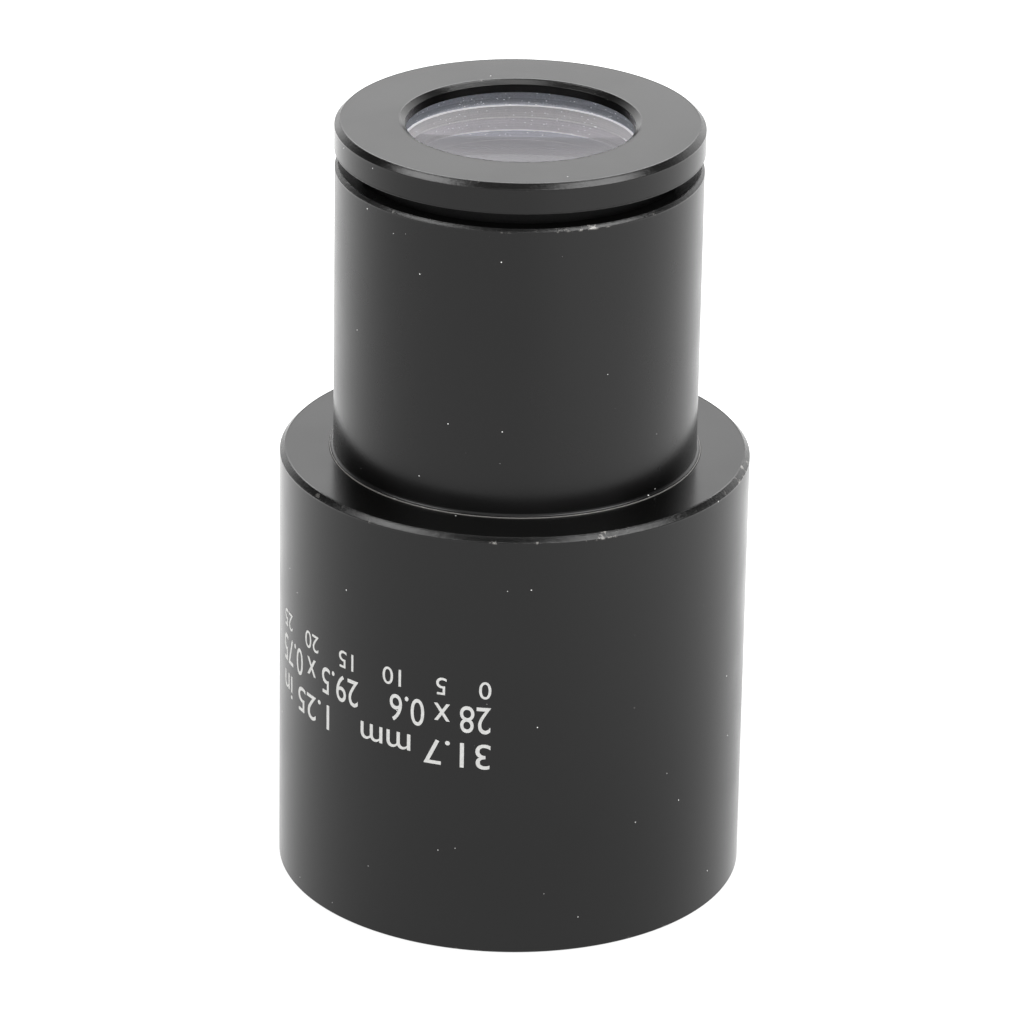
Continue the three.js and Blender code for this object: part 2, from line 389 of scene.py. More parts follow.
class Shader:
    """A node material under construction, on one Principled shader."""

    def __init__(self, name):
        self.material = bpy.data.materials.new(name)
        self.material.use_nodes = True
        self.tree = self.material.node_tree
        self.tree.nodes.clear()
        self.surface = self.add("ShaderNodeBsdfPrincipled", {})
        output = self.add("ShaderNodeOutputMaterial", {})
        self.tree.links.new(self.surface.outputs[0], output.inputs["Surface"])
        place = self.add("ShaderNodeTexCoord", {})
        self.place = place.outputs["Object"]

    def add(self, kind, inputs, **settings):
        """A node with its settings, and its inputs set to values or linked to sockets."""
        node = self.tree.nodes.new(kind)
        for key, value in settings.items():
            setattr(node, key, value)
        for key, value in inputs.items():
            self.put(node, key, value)
        return node

    def put(self, node, key, value):
        """Sets an input to a value, or links it to a socket."""
        if isinstance(value, bpy.types.NodeSocket):
            self.tree.links.new(value, node.inputs[key])
        else:
            node.inputs[key].default_value = value

    def attribute(self, name):
        """A value stored in the mesh."""
        return self.add("ShaderNodeAttribute", {}, attribute_name=name).outputs["Fac"]

    def finish(self, inputs):
        """The material, with its Principled shader's inputs set."""
        for key, value in inputs.items():
            self.put(self.surface, key, value)
        return self.material

    def replace_surface(self, node):
        """The material with another shader in the Principled shader's place."""
        output = self.tree.nodes["Material Output"]
        self.tree.links.new(node.outputs[0], output.inputs["Surface"])
        self.tree.nodes.remove(self.surface)
        return self.material

    def math(self, operation, first, second, clamp=False):
        inputs = {0: first, 1: second}
        return self.add("ShaderNodeMath", inputs, operation=operation, use_clamp=clamp).outputs[0]

    def ramp(self, value, low, high, to_low=0.0, to_high=1.0):
        """value from low to high, mapped smoothly to the other two numbers."""
        inputs = {"Value": value, 1: low, 2: high, 3: to_low, 4: to_high}
        node = self.add("ShaderNodeMapRange", inputs, interpolation_type="SMOOTHSTEP")
        return node.outputs[0]

    def mix(self, share, first, second):
        """A colour between two colours."""
        return self.add("ShaderNodeMix", {0: share, 6: first, 7: second}, data_type="RGBA").outputs[2]

    def noise(self, size, detail, place=None, roughness=0.5):
        """Soft noise with lumps of about that size in millimetres."""
        inputs = {
            "Vector": place or self.place,
            "Scale": 1.0 / (size * MM),
            "Detail": detail,
            "Roughness": roughness,
        }
        return self.add("ShaderNodeTexNoise", inputs).outputs["Fac"]

    def stretched(self, factors, turn):
        """The place, turned and scaled along each axis."""
        inputs = {"Vector": self.place, "Rotation": turn, "Scale": factors}
        return self.add("ShaderNodeMapping", inputs).outputs[0]

    def specks(self, spacing, size, place=None):
        """1 inside small scattered spots of about that size, 0 elsewhere."""
        inputs = {"Vector": place or self.place, "Scale": 1.0 / (spacing * MM)}
        distance = self.add("ShaderNodeTexVoronoi", inputs).outputs["Distance"]
        edge = size / spacing / 2
        return self.ramp(distance, edge * 0.6, edge, 1.0, 0.0)

    def radial(self):
        """(distance from the turning axis, height) as a place, for marks left by the lathe."""
        parts = self.add("ShaderNodeSeparateXYZ", {0: self.place}).outputs
        across = self.add("ShaderNodeCombineXYZ", {0: parts[0], 1: parts[1]}).outputs[0]
        radius = self.add("ShaderNodeVectorMath", {0: across}, operation="LENGTH").outputs["Value"]
        return self.add("ShaderNodeCombineXYZ", {0: radius, 2: parts[2]}).outputs[0]

    def bump(self, height, depth, strength, over=None):
        """Surface relief of that depth in millimetres, on top of other relief."""
        inputs = {"Height": height, "Distance": depth * MM, "Strength": strength}
        if over:
            inputs["Normal"] = over
        return self.add("ShaderNodeBump", inputs).outputs[0]


def colour(red, green, blue):
    return (red, green, blue, 1.0)


BARE_ALUMINIUM = colour(0.62, 0.60, 0.57)
DUST = colour(0.95, 0.95, 0.93)
MIRROR_TINT = colour(0.97, 0.95, 1.0)
CHIP_WHITE = colour(0.97, 0.97, 0.97)
# CHIP_GLOW is the strength of the painted glint that the chips give off.
CHIP_GLOW = 1.1
CROWN_IOR = 1.517
FLINT_IOR = 1.62


def anodised(name, tone, roughness, spread, turn=0.0):
    """Black anodised aluminium: satin, faintly mottled, with dust and bare metal on worn edges.

    spread widens the worn patches, and turn moves them round the axis, in degrees.
    """
    shader = Shader(name)
    worn_at = shader.stretched((1.0, 1.0, 1.0), (0.0, 0.0, -math.radians(turn)))
    mottle = shader.noise(7.0, 4.0)
    grain = shader.noise(0.12, 2.0)
    lines = shader.noise(0.06, 2.0, shader.radial())
    rub = shader.noise(0.9, 5.0, worn_at, 0.65)
    smears = shader.noise(7.0, 4.0, worn_at)
    scratch_place = shader.stretched((1.0, 0.06, 0.35), (0.3, 0.5, 0.9))
    scratches = shader.specks(2.6, 0.05, scratch_place)
    dust = shader.specks(2.4, 0.14)
    worn_edge = shader.attribute("wear")
    worn_place = shader.math("ADD", rub, shader.math("MULTIPLY", smears, 0.5))
    worn_patches = shader.ramp(worn_place, 0.86 - spread, 1.0 - spread, 0.0, 0.6)
    patches = shader.math("MULTIPLY", worn_edge, worn_patches)
    all_round = shader.math("SUBTRACT", worn_edge, 1.0, clamp=True)
    worn_share = shader.math("ADD", patches, all_round, clamp=True)
    marks = shader.math("MULTIPLY", scratches, 0.25)
    bare = shader.math("MAXIMUM", worn_share, marks, clamp=True)
    deep = tuple(0.75 * part for part in tone)
    base = shader.mix(mottle, colour(*deep), colour(*tone))
    base = shader.mix(bare, base, BARE_ALUMINIUM)
    base = shader.mix(dust, base, DUST)
    rough = shader.ramp(mottle, 0.3, 0.7, roughness - 0.03, roughness + 0.03)
    rough = shader.math("ADD", rough, shader.math("MULTIPLY", dust, 0.5))
    relief = shader.bump(grain, 0.004, 0.35)
    relief = shader.bump(lines, 0.003, 0.5, relief)
    nicks = shader.math("MULTIPLY", shader.noise(0.35, 4.0, roughness=0.7), worn_edge)
    relief = shader.bump(nicks, 0.05, 1.0, relief)
    return shader.finish({
        "Base Color": base,
        "Metallic": shader.math("MULTIPLY", bare, 0.85),
        "Roughness": rough,
        "IOR": 1.42,
        "Normal": relief,
    })


def matt_black(name):
    """Flat black paint in the light path, with a dry, slightly sandy surface."""
    shader = Shader(name)
    grit = shader.noise(0.09, 3.0)
    patches = shader.noise(2.5, 3.0)
    base = shader.mix(patches, colour(0.006, 0.006, 0.007), colour(0.014, 0.0135, 0.013))
    return shader.finish({
        "Base Color": base,
        "Roughness": shader.ramp(grit, 0.3, 0.7, 0.72, 0.9),
        "IOR": 1.4,
        "Normal": shader.bump(grit, 0.02, 0.6),
    })


def turned_metal(name, light, dark, roughness):
    """Bare metal off the lathe: fine rings, slight tarnish."""
    shader = Shader(name)
    rings = shader.noise(0.08, 3.0, shader.radial())
    tarnish = shader.noise(1.6, 4.0)
    worn_edge = shader.attribute("wear")
    share = shader.ramp(tarnish, 0.4, 0.75, 0.0, 0.7)
    share = shader.math("SUBTRACT", share, worn_edge, clamp=True)
    rough = shader.ramp(rings, 0.3, 0.7, roughness - 0.05, roughness + 0.07)
    return shader.finish({
        "Base Color": shader.mix(share, light, dark),
        "Metallic": 1.0,
        "Roughness": rough,
        "Normal": shader.bump(rings, 0.004, 0.5),
    })


def nylon():
    """White nylon, slightly translucent, with faint moulding haze."""
    shader = Shader("nylon")
    haze = shader.noise(0.5, 3.0)
    return shader.finish({
        "Base Color": shader.mix(haze, colour(0.80, 0.79, 0.74), colour(0.70, 0.69, 0.64)),
        "Roughness": shader.ramp(haze, 0.3, 0.7, 0.4, 0.52),
        "Subsurface Weight": 0.3,
        "Subsurface Radius": (0.001, 0.001, 0.0008),
        "Normal": shader.bump(haze, 0.01, 0.4),
    })


def white_ink():
    """The filled engraving: chalky white, slightly uneven."""
    shader = Shader("white_ink")
    patches = shader.noise(0.25, 3.0)
    return shader.finish({
        "Base Color": shader.mix(patches, colour(0.78, 0.78, 0.76), colour(0.5, 0.5, 0.49)),
        "Roughness": shader.ramp(patches, 0.3, 0.7, 0.55, 0.75),
        "Normal": shader.bump(patches, 0.01, 0.4),
    })


def coated_glass(name, ior, coating):
    """A polished lens surface. Its coating weakens the mirror image, most of all seen straight on."""
    shader = Shader(name)
    bare = shader.add("ShaderNodeFresnel", {"IOR": ior}).outputs[0]
    share = shader.math("POWER", bare, coating)
    clear = shader.add("ShaderNodeBsdfRefraction", {"Roughness": 0.0, "IOR": ior})
    mirror = shader.add("ShaderNodeBsdfGlossy", {"Roughness": 0.0, "Color": MIRROR_TINT})
    glass = shader.add("ShaderNodeMixShader", {0: share, 1: clear.outputs[0], 2: mirror.outputs[0]})
    return shader.replace_surface(glass)


def cemented_glass(name, ior):
    """The joint between two cemented elements, where light only bends."""
    shader = Shader(name)
    glass = shader.add("ShaderNodeBsdfGlass", {"Roughness": 0.0, "IOR": ior})
    return shader.replace_surface(glass)


def clear_joint():
    """The cement's other side, which light crosses without a change."""
    shader = Shader("clear_joint")
    return shader.replace_surface(shader.add("ShaderNodeBsdfTransparent", {}))


def ground_glass(name, pale, dark, glow):
    """The ground edge of a lens, pale and speckled, with white chips that also glow as painted glints.

    The glow is painted light: it stands for light that spreads inside the glass and comes out through
    the ground surface.
    """
    shader = Shader(name)
    speckle = shader.noise(0.13, 4.0, roughness=0.7)
    bands = shader.noise(0.35, 2.0, shader.radial())
    # White chips in the ground surface, whose emission is a painted glint.
    chips_and_glints = shader.specks(0.6, 0.17)
    speckle_share = shader.math("MULTIPLY", speckle, 0.7)
    share = shader.math("ADD", speckle_share, shader.math("MULTIPLY", bands, 0.3))
    base = shader.mix(shader.ramp(share, 0.35, 0.68), pale, dark)
    return shader.finish({
        "Base Color": shader.mix(chips_and_glints, base, CHIP_WHITE),
        "Roughness": 0.8,
        "Emission Color": colour(0.97, 0.98, 1.0),
        "Emission Strength": shader.math("ADD", shader.math("MULTIPLY", chips_and_glints, CHIP_GLOW), glow),
        "Normal": shader.bump(speckle, 0.02, 0.5),
    })


# Each black piece has its own tone, roughness, spread of wear and turn of its worn patches.
HOLDER_BLACK = anodised("holder_anodise", (0.0032, 0.0032, 0.0031), 0.21, -0.01)
NOSE_BLACK = anodised("nose_anodise", (0.0034, 0.0033, 0.0033), 0.25, -0.01, 52.0)
CELL_BLACK = anodised("cell_anodise", (0.0036, 0.0034, 0.0033), 0.21, -0.06)
RETAINER_BLACK = anodised("retainer_anodise", (0.0034, 0.0034, 0.0034), 0.32, -0.03)
PAINT_BLACK = matt_black("black_paint")
BRASS = turned_metal("brass", colour(0.78, 0.57, 0.27), colour(0.42, 0.27, 0.11), 0.28)
STEEL = turned_metal("screw_steel", colour(0.60, 0.59, 0.57), colour(0.36, 0.34, 0.32), 0.30)
NICKEL = turned_metal("knob_nickel", colour(0.42, 0.41, 0.385), colour(0.27, 0.255, 0.23), 0.20)
NYLON = nylon()
WHITE_INK = white_ink()
CROWN_GLASS = coated_glass("crown_glass", CROWN_IOR, 1.15)
FLINT_GLASS = coated_glass("flint_glass", FLINT_IOR, 1.6)
CEMENT = cemented_glass("cemented_glass", CROWN_IOR / FLINT_IOR)
CLEAR_JOINT = clear_joint()
CROWN_EDGE_GROUND = ground_glass("crown_edge", colour(0.72, 0.76, 0.82), colour(0.30, 0.33, 0.38), 0.0)
FLINT_EDGE_GROUND = ground_glass("flint_edge", colour(0.82, 0.80, 0.78), colour(0.55, 0.54, 0.52), 0.0)
# The bevel's glow is painted light, a thin bright line round the lens's rim.
BEVEL_GROUND = ground_glass("lens_bevel", colour(0.97, 0.97, 0.97), colour(0.9, 0.9, 0.9), 0.25)


# ---------------------------------------------------------------- the eyepiece holder


def make_holder():
    groove_low = CLAMP_Z - CLAMP_GROOVE_WIDTH / 2
    groove_high = CLAMP_Z + CLAMP_GROOVE_WIDTH / 2
    thread_root = root(NOSE_THREAD, inside=True)
    rows = [
        corner(SOCKET_RADIUS + SOCKET_MOUTH, RIM_Z, rounding=0.06, wear=0.6),
        corner(HOLDER_RADIUS, RIM_Z, rounding=RIM_ROUNDING, wear=0.5),
        corner(HOLDER_RADIUS, CLAMP_Z - SCREW_ZONE_HALF),
        corner(HOLDER_RADIUS, CLAMP_Z + SCREW_ZONE_HALF),
        corner(HOLDER_RADIUS, SHOULDER_Z - SHOULDER_CHAMFER, rounding=0.07, wear=1.0),
        corner(HOLDER_RADIUS - SHOULDER_CHAMFER, SHOULDER_Z, rounding=0.07, wear=1.0),
        corner(COUNTERBORE_RADIUS, SHOULDER_Z, rounding=0.02, wear=0.3),
        corner(COUNTERBORE_RADIUS, COUNTERBORE_Z),
        corner(thread_root, COUNTERBORE_Z),
        *threaded(NOSE_THREAD, COUNTERBORE_Z - 0.1, THREAD_BORE_END_Z + 0.2, inside=True),
        corner(thread_root, THREAD_BORE_END_Z),
        corner(LIGHT_BORE_RADIUS, THREAD_BORE_END_Z, rounding=0.05, wear=0.2),
        *baffled(LIGHT_BORE_RADIUS, THREAD_BORE_END_Z - BAFFLE_MARGIN, SOCKET_END_Z + BAFFLE_MARGIN),
        corner(LIGHT_BORE_RADIUS, SOCKET_END_Z, rounding=0.05, wear=0.2),
        corner(SOCKET_RADIUS, SOCKET_END_Z),
        corner(SOCKET_RADIUS, groove_high, rounding=0.08, wear=0.2),
        corner(CLAMP_GROOVE_RADIUS, groove_high),
        corner(CLAMP_GROOVE_RADIUS, groove_low),
        corner(SOCKET_RADIUS, groove_low, rounding=0.08, wear=0.2),
        corner(SOCKET_RADIUS, RIM_Z + SOCKET_MOUTH, rounding=0.1, wear=0.4),
    ]
    body = lathe("holder_body", rows)
    body = cut(body, [screw_hole()])
    finishes = [HOLDER_BLACK, PAINT_BLACK]
    add_piece("holder_body", body, finishes, "holder", ["eyepiece_holder"])


def screw_hole():
    """What the thumbscrew's hole takes out of the holder's wall: a bore with a funnel at its mouth."""
    inner_end = CLAMP_GROOVE_RADIUS - 1.0
    outer_end = HOLDER_RADIUS + 0.5
    rows = [
        corner(0.0, inner_end),
        corner(SCREW_BORE_RADIUS, inner_end),
        corner(SCREW_BORE_RADIUS, HOLDER_RADIUS - 0.4),
        corner(SCREW_BORE_RADIUS + SCREW_FUNNEL, outer_end),
        corner(0.0, outer_end),
    ]
    hole = lathe("screw_hole", rows, HOLE_STEPS)
    hole.transform(screw_place())
    return hole


def make_clamp_ring():
    inner = clamp_high.x - CLAMP_RING_THICKNESS
    rows = [
        corner(inner, clamp_low.z, rounding=0.25, wear=0.6),
        corner(clamp_high.x, clamp_low.z, rounding=0.12, wear=0.6),
        corner(clamp_high.x, clamp_high.z, rounding=0.12, wear=0.6),
        corner(inner, clamp_high.z, rounding=0.25, wear=0.6),
    ]
    mesh = lathe("clamp_ring", rows, slit=CLAMP_SLIT)
    add_piece("clamp_ring", mesh, [BRASS], "holder", ["compression_ring"])


# ---------------------------------------------------------------- the nose


def make_nose():
    thread_root = root(CELL_THREAD, inside=True)
    spigot_tip = NOSE_THREAD.radius - THREAD_LEAD_IN
    spigot_neck = NOSE_THREAD.radius - THREAD_UNDERCUT
    rows = [
        corner(NOSE_BORE_RADIUS, SPIGOT_END_Z, rounding=0.08, wear=0.3, finish=PAINT),
        corner(spigot_tip, SPIGOT_END_Z),
        *threaded(NOSE_THREAD, SPIGOT_END_Z + 0.2, FOOT_LOW_Z - 0.5),
        corner(spigot_neck, FOOT_LOW_Z - 0.35),
        corner(spigot_neck, FOOT_LOW_Z),
        corner(FOOT_RADIUS, FOOT_LOW_Z, rounding=0.05),
        corner(FOOT_RADIUS, SHOULDER_Z + FOOT_LAND, rounding=0.07, wear=1.25),
        *foot_fillet(),
        corner(NOSE_RADIUS, NOSE_TOP_Z - NOSE_TOP_CHAMFER, rounding=0.05, wear=0.9),
        corner(NOSE_RADIUS - NOSE_TOP_CHAMFER, NOSE_TOP_Z, rounding=0.05, wear=1.0),
        corner(thread_root + THREAD_LEAD_IN, NOSE_TOP_Z, rounding=0.05, wear=0.4),
        corner(thread_root, NOSE_TOP_Z - THREAD_LEAD_IN),
        *threaded(CELL_THREAD, NOSE_TOP_Z - 0.4, CELL_LEDGE_Z + 0.3, inside=True),
        corner(thread_root, CELL_LEDGE_Z),
        corner(NOSE_BORE_RADIUS, CELL_LEDGE_Z, rounding=0.05, wear=0.2, finish=PAINT),
        *baffled(NOSE_BORE_RADIUS, CELL_LEDGE_Z - BAFFLE_MARGIN, stop_high.z + 0.3),
        *baffled(NOSE_BORE_RADIUS, stop_low.z - 0.3, SPIGOT_END_Z + BAFFLE_MARGIN),
    ]
    mesh = lathe("nose_tube", rows)
    add_piece("nose_tube", mesh, [NOSE_BLACK, PAINT_BLACK], "nose", ["nose_barrel"])


def foot_fillet():
    """The hollow fillet where the tube meets the low land round its foot."""
    rows = []
    land = SHOULDER_Z + FOOT_LAND
    for step in range(ARC_STEPS + 1):
        angle = math.pi / 2 * step / ARC_STEPS
        radius = NOSE_RADIUS + FOOT_FILLET * (1 - math.sin(angle))
        height = land + FOOT_FILLET * (1 - math.cos(angle))
        rows.append(corner(radius, height))
    rows.append(corner(NOSE_RADIUS, land + FOOT_FILLET + SUPPORT))
    return rows


def make_stop():
    skirt_inner = stop_high.x - STOP_SKIRT
    disc_low = stop_high.z - STOP_THICKNESS
    rows = [
        corner(skirt_inner, stop_low.z, rounding=0.08, wear=0.1),
        corner(stop_high.x, stop_low.z, rounding=0.08, wear=0.1),
        corner(stop_high.x, stop_high.z, rounding=0.08, wear=0.1),
        corner(STOP_APERTURE_RADIUS, stop_high.z, rounding=0.03),
        corner(STOP_APERTURE_RADIUS, stop_high.z - STOP_LAND),
        corner(STOP_APERTURE_RADIUS + STOP_COUNTERSINK, disc_low, rounding=0.05),
        corner(skirt_inner, disc_low),
    ]
    mesh = lathe("stop_ring", rows)
    add_piece("stop_ring", mesh, [PAINT_BLACK], "nose_carrier", ["glare_stop"])


# ---------------------------------------------------------------- the lens cell


def make_cell():
    thread_root = root(RETAINER_THREAD, inside=True)
    bevel_low_z = cell_high.z - APERTURE_BEVEL_DEPTH
    rows = [
        corner(thread_root + THREAD_LEAD_IN, cell_low.z, rounding=0.04, wear=0.2),
        corner(CELL_THREAD.radius - THREAD_LEAD_IN, cell_low.z, rounding=0.04, wear=0.2),
        *threaded(CELL_THREAD, cell_low.z + 0.2, CELL_THREAD_TOP_Z - 0.1),
        corner(RELIEF_RADIUS, CELL_THREAD_TOP_Z, finish=PAINT),
        corner(RELIEF_RADIUS, FLANGE_LOW_Z),
        corner(cell_high.x, FLANGE_LOW_Z, rounding=0.12, wear=0.8),
        corner(cell_high.x, cell_high.z - FLANGE_CHAMFER, rounding=0.07, wear=0.6),
        corner(cell_high.x - FLANGE_CHAMFER, cell_high.z, rounding=0.07, wear=0.8),
        corner(APERTURE_RADIUS + APERTURE_BEVEL_WIDTH, cell_high.z, rounding=0.07, wear=0.6),
        corner(APERTURE_RADIUS, bevel_low_z, rounding=0.05, wear=0.4),
        corner(APERTURE_RADIUS, LIP_Z, rounding=0.03, finish=PAINT),
        corner(LENS_BORE_RADIUS, LIP_Z, finish=PAINT),
        corner(LENS_BORE_RADIUS, RETAINER_BORE_TOP_Z, finish=PAINT),
        corner(thread_root, RETAINER_BORE_TOP_Z),
        *threaded(RETAINER_THREAD, RETAINER_BORE_TOP_Z - 0.1, cell_low.z + 0.35, inside=True),
        corner(thread_root, cell_low.z + THREAD_LEAD_IN),
    ]
    mesh = lathe("cell_body", rows)
    add_piece("cell_body", mesh, [CELL_BLACK, PAINT_BLACK], "cell", ["lens_cell"])


def lens_face(curve, rim_radius, rim_height, inwards=False, finish=0):
    """Rows of a spherical face between its rim and the axis. A positive curve bulges towards +Z."""
    rows = []
    rim_sag = abs(curve) - math.sqrt(curve**2 - rim_radius**2)
    for ring in range(LENS_RINGS + 1):
        share = ring / LENS_RINGS
        radius = rim_radius * (1 - share if inwards else share)
        sag = abs(curve) - math.sqrt(curve**2 - radius**2)
        height = rim_height + math.copysign(rim_sag - sag, curve)
        rows.append(corner(radius, height, finish=finish))
    return rows


def make_lenses():
    """The doublet. The row at a face's rim has the finish of the bevel that follows it."""
    rim = crown_high.x - LENS_BEVEL
    crown_foot = crown_low.z
    crown_rows = [
        *lens_face(CEMENT_CURVE, rim, crown_foot, finish=CEMENTED_FACE)[:-1],
        corner(rim, crown_foot, finish=GROUND_BEVEL),
        corner(crown_high.x, crown_foot + LENS_BEVEL, finish=GROUND_EDGE),
        corner(crown_high.x, crown_high.z - LENS_BEVEL, finish=GROUND_BEVEL),
        *lens_face(-FRONT_CURVE, rim, crown_high.z, inwards=True),
    ]
    flint_top = crown_foot - CEMENT_GAP
    flint_rows = [
        *lens_face(REAR_CURVE, rim, flint_low.z)[:-1],
        corner(rim, flint_low.z, finish=GROUND_EDGE),
        corner(flint_high.x, flint_low.z + LENS_BEVEL, finish=GROUND_EDGE),
        corner(flint_high.x, flint_top - LENS_BEVEL, finish=GROUND_BEVEL),
        *lens_face(CEMENT_CURVE, rim, flint_top, inwards=True, finish=CEMENTED_FACE),
    ]
    crown = lathe("front_element", crown_rows)
    flint = lathe("rear_element", flint_rows)
    crown_finishes = [CROWN_GLASS, CEMENT, CROWN_EDGE_GROUND, BEVEL_GROUND]
    flint_finishes = [FLINT_GLASS, CLEAR_JOINT, FLINT_EDGE_GROUND, BEVEL_GROUND]
    add_piece("front_element", crown, crown_finishes, "optics", ["front_lens"])
    add_piece("rear_element", flint, flint_finishes, "optics", ["rear_lens"])


def make_retaining_ring():
    outer = RETAINER_THREAD.radius - THREAD_UNDERCUT
    rows = [
        corner(RETAINER_RADIUS, retainer_low.z, rounding=0.06, wear=0.3),
        corner(outer, retainer_low.z, rounding=0.05, wear=0.3),
        *threaded(RETAINER_THREAD, retainer_low.z + 0.2, retainer_high.z - 0.2),
        corner(outer, retainer_high.z, rounding=0.05, wear=0.1),
        corner(RETAINER_RADIUS, retainer_high.z, rounding=0.1, wear=0.1),
    ]
    ring = lathe("retaining_ring", rows)
    ring = cut(ring, [spanner_slot(-1), spanner_slot(1)])
    finishes = [RETAINER_BLACK]
    add_piece("retaining_ring", ring, finishes, "cell", ["cell_retaining_ring"])


def spanner_slot(side):
    """A block that cuts a slot across the retaining ring's back, at -X or +X."""
    ends = sorted((side * (RETAINER_RADIUS - 1.0), side * (retainer_high.x + 1.0)))
    low = (ends[0], -SPANNER_SLOT_HALF, retainer_low.z - 1.0)
    high = (ends[1], SPANNER_SLOT_HALF, retainer_low.z + SPANNER_SLOT_DEPTH)
    return box_mesh(low, high)


# ---------------------------------------------------------------- the thumbscrew


def screw_place():
    """Turns a piece made along Z so that its Z runs out along +Y at the clamp's height."""
    return Matrix.Translation((0.0, 0.0, CLAMP_Z * MM)) @ Matrix.Rotation(-math.pi / 2, 4, "X")


def knurl(radius, angle, height):
    """Diamond knurling round the knob's head, fading out towards its chamfers."""
    if radius < knob_high.x - 0.05:
        return 0.0
    middle = (knob_low.y + KNOB_COLLAR_LENGTH + knob_high.y) / 2
    reach = (knob_high.y - knob_low.y - KNOB_COLLAR_LENGTH) / 2 - 0.75
    fade = max(0.0, min(1.0, (reach - abs(height - middle)) / KNURL_FADE))
    slant = height / knob_high.x
    left = 2 * abs((KNURL_COUNT * (angle + slant) / (2 * math.pi)) % 1.0 - 0.5)
    right = 2 * abs((KNURL_COUNT * (angle - slant) / (2 * math.pi)) % 1.0 - 0.5)
    return -KNURL_DEPTH * fade * (1.0 - min(left, right))


def make_knob():
    collar_top = knob_low.y + KNOB_COLLAR_LENGTH
    head = knob_high.x
    dish_z = knob_high.y - KNOB_DISH_DEPTH
    bore_end = shank_high.y + 0.05
    grip_low = collar_top + 0.62
    grip_high = knob_high.y - 0.62
    grip_rows = []
    for step in range(KNURL_ROWS + 1):
        grip_rows.append(corner(head, grip_low + (grip_high - grip_low) * step / KNURL_ROWS))
    rows = [
        corner(0.0, bore_end),
        corner(SCREW_BORE_RADIUS, bore_end),
        corner(SCREW_BORE_RADIUS, knob_low.y, rounding=0.06, wear=0.3),
        corner(KNOB_COLLAR_RADIUS, knob_low.y, rounding=0.15, wear=0.5),
        corner(KNOB_COLLAR_RADIUS, collar_top),
        corner(head - KNOB_CHAMFER, collar_top, rounding=0.05, wear=0.5),
        corner(head, collar_top + KNOB_CHAMFER, rounding=0.03, wear=0.5),
        *grip_rows,
        corner(head, knob_high.y - KNOB_CHAMFER, rounding=0.03, wear=0.5),
        corner(head - KNOB_CHAMFER, knob_high.y, rounding=0.05, wear=0.5),
        corner(head - KNOB_RIM_WIDTH, knob_high.y, rounding=0.05, wear=0.2),
        corner(head - KNOB_DISH_WIDTH, dish_z, rounding=0.05, wear=0.2),
        corner(0.0, dish_z),
    ]
    knob = lathe("screw_knob", rows, KNURL_COUNT * KNURL_STEPS, relief=knurl)
    nodes = ["thumbscrew_knob"]
    add_piece("screw_knob", knob, [NICKEL], "thumbscrew", nodes, screw_place())


def make_shank():
    hole_end = tip_high.y + 0.1
    thread_end = knob_low.y - 0.3
    neck = SCREW_THREAD.radius - 0.05
    head = shank_high.z - CLAMP_Z
    rows = [
        corner(0.0, hole_end),
        corner(SHANK_HOLE_RADIUS, hole_end),
        corner(SHANK_HOLE_RADIUS, shank_low.y, rounding=0.04, wear=0.3),
        corner(SCREW_THREAD.radius - 0.3, shank_low.y, rounding=0.04, wear=0.3),
        *threaded(SCREW_THREAD, shank_low.y + 0.25, thread_end),
        corner(neck, thread_end + 0.2),
        corner(neck, knob_low.y + 0.1),
        corner(head, knob_low.y + 0.25),
        corner(head, shank_high.y, rounding=0.1),
        corner(0.0, shank_high.y),
    ]
    shank = lathe("screw_shank", rows, SCREW_STEPS)
    nodes = ["thumbscrew_shank"]
    add_piece("screw_shank", shank, [STEEL], "thumbscrew", nodes, screw_place())


def make_tip():
    head_end = tip_low.y + TIP_HEAD_LENGTH
    rows = [
        corner(0.0, tip_low.y),
        corner(tip_high.x, tip_low.y, rounding=0.15),
        corner(tip_high.x, head_end, rounding=0.1),
        corner(TIP_STEM_RADIUS, head_end),
        corner(TIP_STEM_RADIUS, tip_high.y, rounding=0.15),
        corner(0.0, tip_high.y),
    ]
    tip = lathe("screw_tip", rows, SCREW_STEPS)
    add_piece("screw_tip", tip, [NYLON], "screw_tip", ["thumbscrew_tip"], screw_place())


# ---------------------------------------------------------------- the size marking

# Each line is (text, height of its capitals, place of its foot below the shoulder, width).
MARKING_LINES = (
    ("31.7 mm   1.25 in", 2.35, 19.3, 25.0),
    ("28 x 0.6    29.5 x 0.75", 2.5, 15.8, 25.2),
    ("0    5    10    15    20    25", 1.6, 13.4, 25.0),
)
MARKING_START = math.radians(-4.6)
INK_RELIEF = 0.012
INK_DEPTH = 0.04
INK_STRIP = 0.3

# In the font's units. The ink's real thickness is set when the letters are wrapped.
LETTER_THICKNESS = 0.5
LETTER_STEPS = 6


